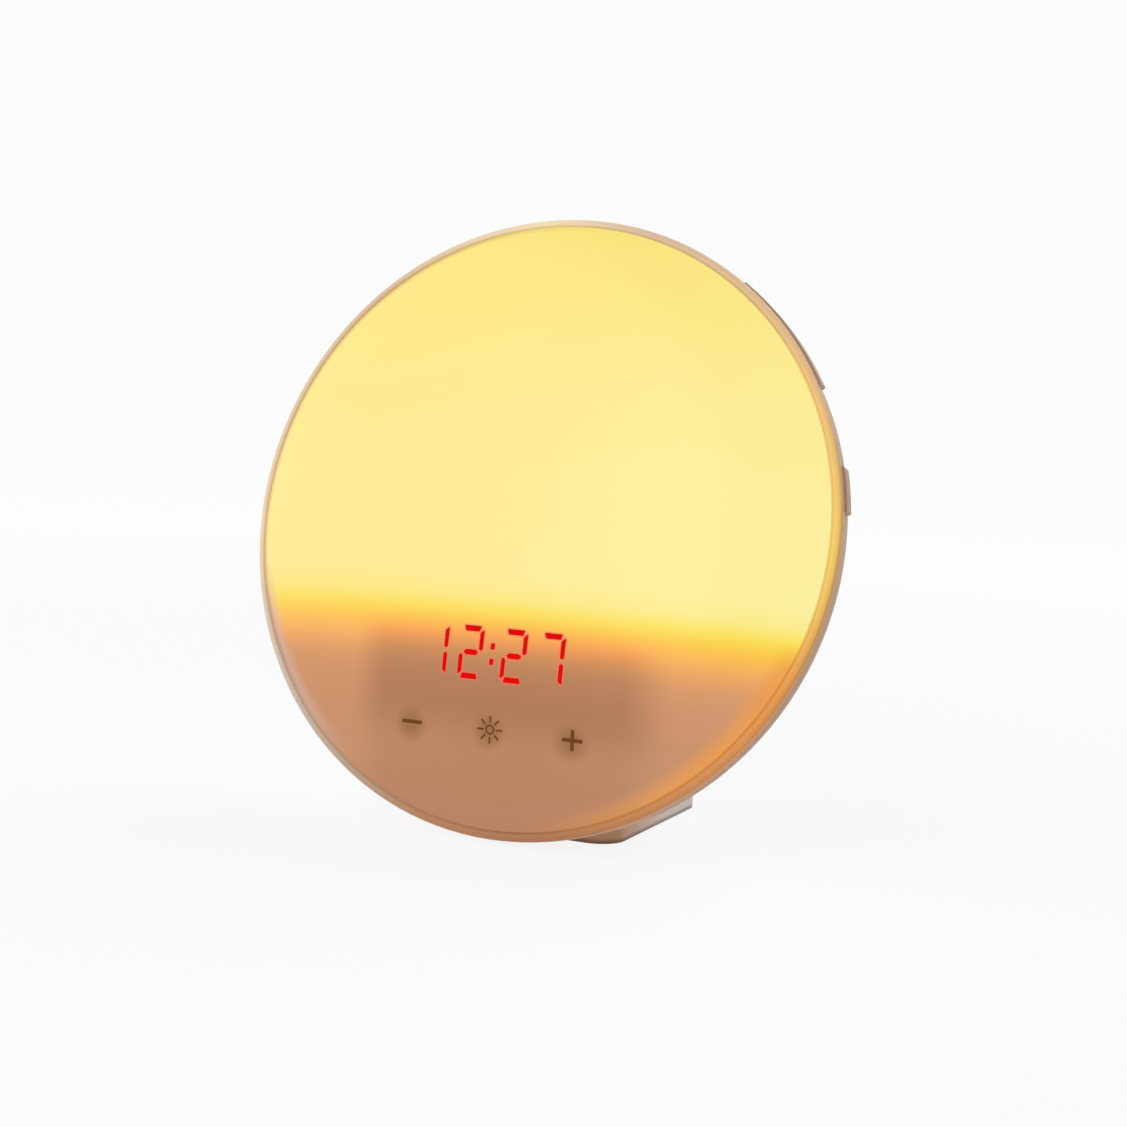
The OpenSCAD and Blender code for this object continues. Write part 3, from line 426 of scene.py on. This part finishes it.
def symbolOutlines():
    places = list(zip(symbols["middles"], symbols["level"]))
    line, (wide, tall) = symbols["line"], symbols["plus"]
    a, b, n = wide / 2, tall / 2, line / 2
    cross = [(a, -n), (a, n), (n, n), (n, b), (-n, b), (-n, n),
             (-a, n), (-a, -n), (-n, -n), (-n, -b), (n, -b), (n, -n)]
    shapes = [bar(places[0], symbols["minus"], line, 0), [(places[2][0] + x, places[2][1] + y) for x, y in cross]]
    reach = (symbols["rayFrom"] + symbols["rayTo"]) / 2
    for step in range(symbols["rays"]):
        angle = 360 / symbols["rays"] * step
        spot = arc(places[1], reach, angle, angle, 1)[0]
        shapes.append(bar(spot, symbols["rayTo"] - symbols["rayFrom"], symbols["rayWide"], angle))
    steps = symbols["ringSteps"]
    return shapes + [arc(places[1], radius, 0, 360 - 360 / steps, steps - 1) for radius in symbols["ring"]]


# materials that glow
glowLook = {
    # height up the face (mm) and the colour that shows there
    "steps": ((-84, (199, 146, 116)), (-66, (203, 150, 115)), (-54, (205, 150, 112)), (-45, (212, 152, 112)),
              (-40, (220, 157, 109)), (-37, (235, 164, 103)), (-34, (247, 176, 97)), (-31, (251, 191, 84)),
              (-28, (251, 208, 82)), (-25.5, (252, 224, 96)), (-22, (252, 233, 136)), (-17, (253, 236, 154)),
              (10, (254, 236, 154)), (40, (253, 234, 144)), (62, (252, 232, 134)), (84, (251, 231, 130))),
    "half": 84.0, "own": 0.85, "painted": 0.15, "mirror": 0.04,   # mirror: what the lamps add, taken off first
    "rough": 0.2, "index": 1.5, "shine": 0.3, "grain": (0.02, 0.03, 0.05),
    # painted shade on the left and painted light on the right, against how the lamps fall on the front
    "leftPaintedShade": (0.99, 0.92, 0.80), "leftAcross": (20.0, -84.0), "leftUp": (-36.0, -18.0),
    "rightPaintedLight": (1.05, 1.09, 1.2), "rightAcross": (0.0, 84.0),
    # painted shadows of the board and of the round parts behind the symbols, which show through
    "boardTop": (1.0, 0.74, 0.84), "boardTopUp": (-26.0, -35.0), "board": (0.74, 0.99, 0.93), "boardUp": (-31.0, -38.0),
    "symbolShade": (0.74, 0.74, 0.70), "halo": (246, 122, 96), "haloWide": (0.05, 0.5, 0.8, 0.0),
    "edge": (0.82, 0.72, 0.84), "edgeReach": (80.0, 81.2), "edgeAcross": (25.0, -45.0),
    "edgeUp": (-68.0, -38.0, 0.15, 1.0), "seam": (0.86, 0.76, 0.62), "seamReach": (81.3, 81.65),
    # light that leaks out at the lower right rim, and a painted dark reflection at the lower left one
    "leak": (242, 165, 88), "leakReach": (75.8, 81.2), "leakTurn": (-36.0, 6.0, 52.0),
    "leakUp": (-24.0, -34.0, 0.0, 0.82),
    "paintedReflection": (212, 180, 162), "paintedReflectionReach": (76.5, 81.0), "paintedReflectionTurn": (-147.0, 8.0, 26.0), "paintedReflectionShare": 0.75,
    "cloud": (1.0, 0.985, 0.93), "cloudScale": 0.045, "cloudShare": 0.5,
}


def turnWindow(tree, angle, middle, inner, outer):
    # 1 within inner degrees of the middle direction, 0 past outer degrees
    away = maths(tree, "PINGPONG", maths(tree, "SUBTRACT", angle, middle), 180.0)
    return smooth(tree, away, inner, outer, 1.0, 0.0)


def frontMaterial(look):
    made, tree, shader = newMaterial("milkyFront", Roughness=look["rough"], IOR=look["index"],
                                     Specular_IOR_Level=look["shine"])
    place, x, y, _ = facePlace(tree)
    radius, angle = polar(tree, x, y)
    half = look["half"]
    level = node(tree, "ShaderNodeMapRange", {"Value": y, "From Min": -half, "From Max": half}).outputs[0]
    light = ramp(tree, level, [((rise + half) / (2 * half), colour) for rise, colour in look["steps"]])
    # painted shade on the lower left and painted light on the right even out how the lamps fall on the front
    left = maths(tree, "MULTIPLY", smooth(tree, x, *look["leftAcross"]), smooth(tree, y, *look["leftUp"]))
    light = tinted(tree, left, light, look["leftPaintedShade"])
    light = tinted(tree, smooth(tree, x, *look["rightAcross"]), light, look["rightPaintedLight"])
    board = node(tree, "ShaderNodeAttribute", attribute_name="boardShade").outputs["Fac"]
    for tint in ("boardTop", "board"):
        depth = maths(tree, "MULTIPLY", board, smooth(tree, y, *look[tint + "Up"]))
        light = tinted(tree, depth, light, look[tint])
    shade = node(tree, "ShaderNodeAttribute", attribute_name="symbolShade").outputs["Fac"]
    light = tinted(tree, shade, light, look["symbolShade"])
    leak = maths(tree, "MULTIPLY", smooth(tree, radius, *look["leakReach"]), turnWindow(tree, angle, *look["leakTurn"]))
    leak = maths(tree, "MULTIPLY", leak, smooth(tree, y, *look["leakUp"]))
    light = mixed(tree, leak, light, srgb(*look["leak"]))
    paintedReflection = maths(tree, "MULTIPLY", smooth(tree, radius, *look["paintedReflectionReach"]), turnWindow(tree, angle, *look["paintedReflectionTurn"]))
    light = mixed(tree, maths(tree, "MULTIPLY", paintedReflection, look["paintedReflectionShare"]), light, srgb(*look["paintedReflection"]))
    halo = node(tree, "ShaderNodeAttribute", attribute_name="digitDistance").outputs["Fac"]
    light = mixed(tree, smooth(tree, halo, *look["haloWide"]), light, srgb(*look["halo"]))
    edge = maths(tree, "MULTIPLY", smooth(tree, radius, *look["edgeReach"]), smooth(tree, x, *look["edgeAcross"]))
    edge = maths(tree, "MULTIPLY", edge, smooth(tree, y, *look["edgeUp"]))
    light = tinted(tree, edge, light, look["edge"])
    light = tinted(tree, smooth(tree, radius, *look["seamReach"]), light, look["seam"])
    cloud = node(tree, "ShaderNodeTexNoise", {"Vector": place, "Scale": look["cloudScale"], "Detail": 1.0}).outputs[0]
    light = tinted(tree, maths(tree, "MULTIPLY", cloud, look["cloudShare"]), light, look["cloud"])
    own = vectors(tree, "SUBTRACT", light, (look["mirror"],) * 3)
    own = vectors(tree, "MAXIMUM", own, (0, 0, 0))
    paint = node(tree, "ShaderNodeVectorMath", {0: own, "Scale": look["painted"]}, operation="SCALE").outputs[0]
    ownAndPaintedGlow(tree, shader, paint, own, look["own"])
    grain(tree, shader, place, *look["grain"])
    return made


def flatGlow(name, colour, own):
    made, tree, shader = newMaterial(name, Roughness=0.5, Specular_IOR_Level=0.0)
    place = facePlace(tree)[0]
    cloud = node(tree, "ShaderNodeTexNoise", {"Vector": place, "Scale": 0.6, "Detail": 2.0}).outputs[0]
    tone = mixed(tree, cloud, srgb(*colour), srgb(*[c * 0.9 for c in colour]))
    ownAndPaintedGlow(tree, shader, mixed(tree, 1 - own, (0, 0, 0, 1), tone), tone, own)
    return made


litRed = flatGlow("digitRed", (238, 14, 12), 0.92)
printBrown = flatGlow("symbolBrown", (124, 73, 36), 0.6)


def turnRamp(tree, angle, stops):
    # colours by the angle round the face, in degrees from the right hand side
    turnPart = maths(tree, "FRACT", maths(tree, "ADD", maths(tree, "DIVIDE", angle, 360.0), 1.0))
    return ramp(tree, turnPart, [(a / 360, colour) for a, colour in stops])


def rimMaterial(name, look, rough):
    # white plastic that lets the front's warm light through, here painted into its tone by the angle round the face
    # together with painted shade; shaded at the seam, then the outer side's painted light and shade, and the plain
    # plastic further back; its emission is a painted glow
    made, tree, shader = newMaterial(name, IOR=1.45, Specular_IOR_Level=look["shine"])
    place, x, y, z = facePlace(tree)
    radius, angle = polar(tree, x, y)
    tone = turnRamp(tree, angle, look["side"])
    if "front" in look:
        band = turnRamp(tree, angle, look["front"])
        band = tinted(tree, smooth(tree, radius, *look["seamReach"]), band, look["seam"])
        tone = mixed(tree, smooth(tree, z, *look["turn"]), band, tone)
    if "back" in look:
        tone = mixed(tree, smooth(tree, z, *look["fade"]), tone, turnRamp(tree, angle, look["back"]))
        tone = mixed(tree, smooth(tree, z, *look["rear"]), tone, srgb(*look["plain"]))
    # painted shadow: the shell darkens just above the floor
    if "floorShade" in look:
        spot = node(tree, "ShaderNodeTexCoord").outputs["Object"]
        height = node(tree, "ShaderNodeSeparateXYZ", {0: spot}).outputs[2]
        top, bottom = look["floorShadeUp"]
        tone = tinted(tree, smooth(tree, height, top * mm, bottom * mm), tone, look["floorShade"])
    grain(tree, shader, place, scale=0.9, strength=0.03, rough=rough)
    paint = node(tree, "ShaderNodeVectorMath", {0: tone, "Scale": 1 - look["own"]}, operation="SCALE").outputs[0]
    ownAndPaintedGlow(tree, shader, paint, tone, look["own"])
    return made


bezelLook = {
    # degrees round the face and the colour there, on the front and on the outer side: the front's warm light and the
    # shade painted into white plastic; own is the share of a painted glow
    "front": ((0, (255, 213, 112)), (25, (248, 200, 132)), (50, (230, 194, 146)), (75, (222, 190, 164)),
              (95, (246, 224, 182)), (130, (216, 186, 156)), (160, (224, 198, 164)), (185, (236, 206, 174)),
              (212, (208, 190, 176)), (238, (188, 162, 142)), (256, (184, 134, 100)), (280, (180, 125, 88)),
              (312, (218, 148, 92)), (332, (236, 158, 82)), (350, (250, 204, 106)), (360, (255, 213, 112))),
    "side": ((0, (196, 148, 84)), (22, (192, 154, 114)), (50, (190, 154, 122)), (90, (226, 212, 196)),
             (240, (222, 208, 196)), (272, (156, 112, 78)), (300, (186, 134, 92)), (322, (204, 141, 80)),
             (350, (196, 144, 80)), (360, (196, 148, 84))),
    "own": 0.55, "shine": 0.1, "seam": (0.86, 0.83, 0.66), "seamReach": (82.4, 82.0), "turn": (-0.3, -1.5),
}
# the shell's white plastic, with the front's warm light and the shade painted in by the angle round the face; own is
# the share of a painted glow
shellLook = {
    "side": ((0, (194, 154, 114)), (20, (182, 148, 118)), (50, (190, 158, 130)), (90, (226, 218, 210)),
             (240, (222, 212, 204)), (275, (166, 118, 82)), (302, (184, 126, 86)), (335, (188, 139, 100)),
             (360, (194, 154, 114))),
    "back": ((0, (214, 204, 196)), (90, (226, 220, 213)), (180, (224, 218, 211)), (255, (206, 182, 162)),
             (275, (208, 162, 126)), (303, (200, 160, 130)), (325, (208, 188, 174)), (360, (214, 204, 196))),
    # fade and rear: depths in mm between which the next tone takes over; floorShade: a painted shadow, the dark line at
    # the floor
    "own": 0.22, "shine": 0.2, "fade": (-6.0, -14.0), "rear": (-18.0, -62.0), "plain": (216, 207, 198),
    "floorShade": (0.42, 0.40, 0.40), "floorShadeUp": (2.2, 0.9),
}
# the white keys: a brown tone of painted shade and the front's warm light, with a painted glow
keyLook = {"side": ((0, (186, 150, 124)), (90, (186, 152, 128))), "own": 0.32, "shine": 0.12}
bezelWhite = rimMaterial("bezelWhite", bezelLook, rough=(0.28, 0.36))
shellWhite = rimMaterial("shellWhite", shellLook, rough=(0.38, 0.46))
keyWhite = rimMaterial("keyWhite", keyLook, rough=(0.34, 0.42))
frontGlow = frontMaterial(glowLook)

# the milky front: the dome, a small roll at its rim, the lip that stands in the bezel and the inside
lens = {"segments": 480, "lip": 1.3, "bevel": 0.1, "rollSteps": 9, "insideRings": (79.6, 75, 65, 50, 35, 20, 8, 0)}
r, wall, corner, bevel = dome["edge"], dome["wall"], dome["corner"], lens["bevel"]
top = float(domeHeight(r - corner, 0))
rings = [0, *np.arange(2, 20, 2), *np.arange(20, 70, 0.5), *np.arange(70, 80, 1.5), 80, 80.5, r - corner - bevel]
outer = [(s, float(domeHeight(s, 0))) for s in rings]
roll = [(r - corner + corner * math.sin(a), top - corner * (1 - math.cos(a)))
        for a in np.radians(np.linspace(0, 90, lens["rollSteps"]))]
lip = lens["lip"]
inner = [(r, top - corner - bevel), (r, bevel - lip), (r - bevel, -lip),
         (r - wall + bevel, -lip), (r - wall, bevel - lip)]
deep = dome["radius"] - wall
inside = [(s, dome["height"] - dome["radius"] + math.sqrt(deep ** 2 - s ** 2)) for s in lens["insideRings"]]
front = turnedPiece("frontLens", outer + roll + inner + inside, frontGlow, lens["segments"])


def faceCoordinates(mesh):
    # x and y on the clock face of a mesh's points, in mm
    spots = np.zeros(len(mesh.vertices) * 3, np.float64)
    mesh.vertices.foreach_get("co", spots)
    spots = spots.reshape(-1, 3) / mm - np.array((0, face["y"], face["z"]))
    c, s = math.cos(tilt), math.sin(tilt)
    return spots[:, 0], spots[:, 1] * c + spots[:, 2] * s


def distanceTo(shapes, x, y):
    # distance in mm from each point to the nearest outline, 0 inside one
    best = np.full(len(x), 99.0)
    for shape in shapes:
        inside = np.zeros(len(x), bool)
        near = np.full(len(x), 99.0)
        for (ax, ay), (bx, by) in zip(shape, shape[1:] + shape[:1]):
            dx, dy = bx - ax, by - ay
            t = np.clip(((x - ax) * dx + (y - ay) * dy) / (dx * dx + dy * dy), 0, 1)
            near = np.minimum(near, np.hypot(x - ax - t * dx, y - ay - t * dy))
            if ay != by:
                inside ^= ((ay > y) != (by > y)) & (x < (bx - ax) * (y - ay) / (by - ay) + ax)
        best = np.minimum(best, np.where(inside, 0, near))
    return best


def ease(value, start, end):
    t = np.clip((value - start) / (end - start), 0, 1)
    return t * t * (3 - 2 * t)


# soft shades of the board and of the round parts behind the symbols, kept as attributes of the lens
shades = {"boardLeft": (-44, -31), "boardRight": (50, 34), "boardBottom": (-62, -49), "below": 0.45,
          "spot": 3.4, "spotSoft": 2.4, "spotShift": (-0.4, -0.8)}
x, y = faceCoordinates(front.data)
board = ease(x, *shades["boardLeft"]) * ease(x, *shades["boardRight"])
board *= shades["below"] + (1 - shades["below"]) * ease(y, *shades["boardBottom"])
spots = np.zeros(len(x))
(right, up), size, soft = shades["spotShift"], shades["spot"], shades["spotSoft"]
for middle, level in zip(symbols["middles"], symbols["level"]):
    away = np.hypot(x - middle - right, y - level - up)
    spots = np.maximum(spots, 1 - ease(away, size - soft, size + soft))
fromDigits = distanceTo(digitOutlines(), x, y)
for name, values in (("boardShade", board), ("symbolShade", spots), ("digitDistance", fromDigits)):
    front.data.attributes.new(name, "FLOAT", "POINT").data.foreach_set("value", values.astype(np.float32))
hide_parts("front_diffuser")
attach(front, "clock")

litDigits = marksPiece("litDigits", digitOutlines(), litRed, digits)
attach(litDigits, "clock")
touchSymbols = marksPiece("touchSymbols", symbolOutlines(), printBrown, symbols)
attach(touchSymbols, "clock")
print("front, digits and symbols made")

# CAD nodes: their finishes
finishes = {
    "bezel_white": bezelWhite, "shell_white": shellWhite, "key_white": keyWhite,
    "cover_grey": plasticMaterial("coverGrey", (198, 194, 188)),
    "pad_rubber": plasticMaterial("padRubber", (58, 58, 60), rough=(0.75, 0.85), scale=1400.0),
    "reflector_white": plasticMaterial("reflectorWhite", (240, 238, 230), rough=(0.5, 0.6)),
    "board_white": plasticMaterial("boardWhite", (228, 228, 222)),
    "board_green": plasticMaterial("boardGreen", (24, 92, 52), rough=(0.3, 0.4)),
    "lamp_yellow": plasticMaterial("lampYellow", (246, 214, 90), rough=(0.2, 0.3)),
    "module_grey": plasticMaterial("moduleGrey", (70, 70, 74)),
    "digit_red": flatGlow("segmentRed", (230, 20, 14), 0.8),
    "contact_metal": plasticMaterial("contactMetal", (205, 198, 184), rough=(0.25, 0.35), Metallic=1.0),
    "ribbon_film": plasticMaterial("ribbonFilm", (190, 150, 80), rough=(0.3, 0.4)),
    "wire_red": plasticMaterial("wireRed", (178, 32, 26)),
    "wire_black": plasticMaterial("wireBlack", (30, 30, 32)),
    "chip_black": plasticMaterial("chipBlack", (34, 34, 36), rough=(0.55, 0.65)),
    "capacitor_blue": plasticMaterial("capacitorBlue", (38, 62, 118), rough=(0.25, 0.35)),
    "connector_cream": plasticMaterial("connectorCream", (232, 224, 200)),
    "speaker_black": plasticMaterial("speakerBlack", (36, 36, 38), rough=(0.5, 0.6)),
    "magnet_steel": plasticMaterial("magnetSteel", (150, 150, 154), rough=(0.35, 0.45), Metallic=1.0),
    "cone_paper": plasticMaterial("conePaper", (48, 46, 44), rough=(0.8, 0.9), scale=500.0, strength=0.4),
    "screw_steel": plasticMaterial("screwSteel", (176, 176, 180), rough=(0.25, 0.38), Metallic=1.0),
}
for row in frame["record"]["subparts"]:
    if row["node"] != "front_diffuser":
        part = frame["nodes"][row["node"]]
        part.data.materials.clear()
        part.data.materials.append(finishes[row["material_slot"]])
print("finishes on", len(frame["nodes"]) - 1, "CAD nodes")
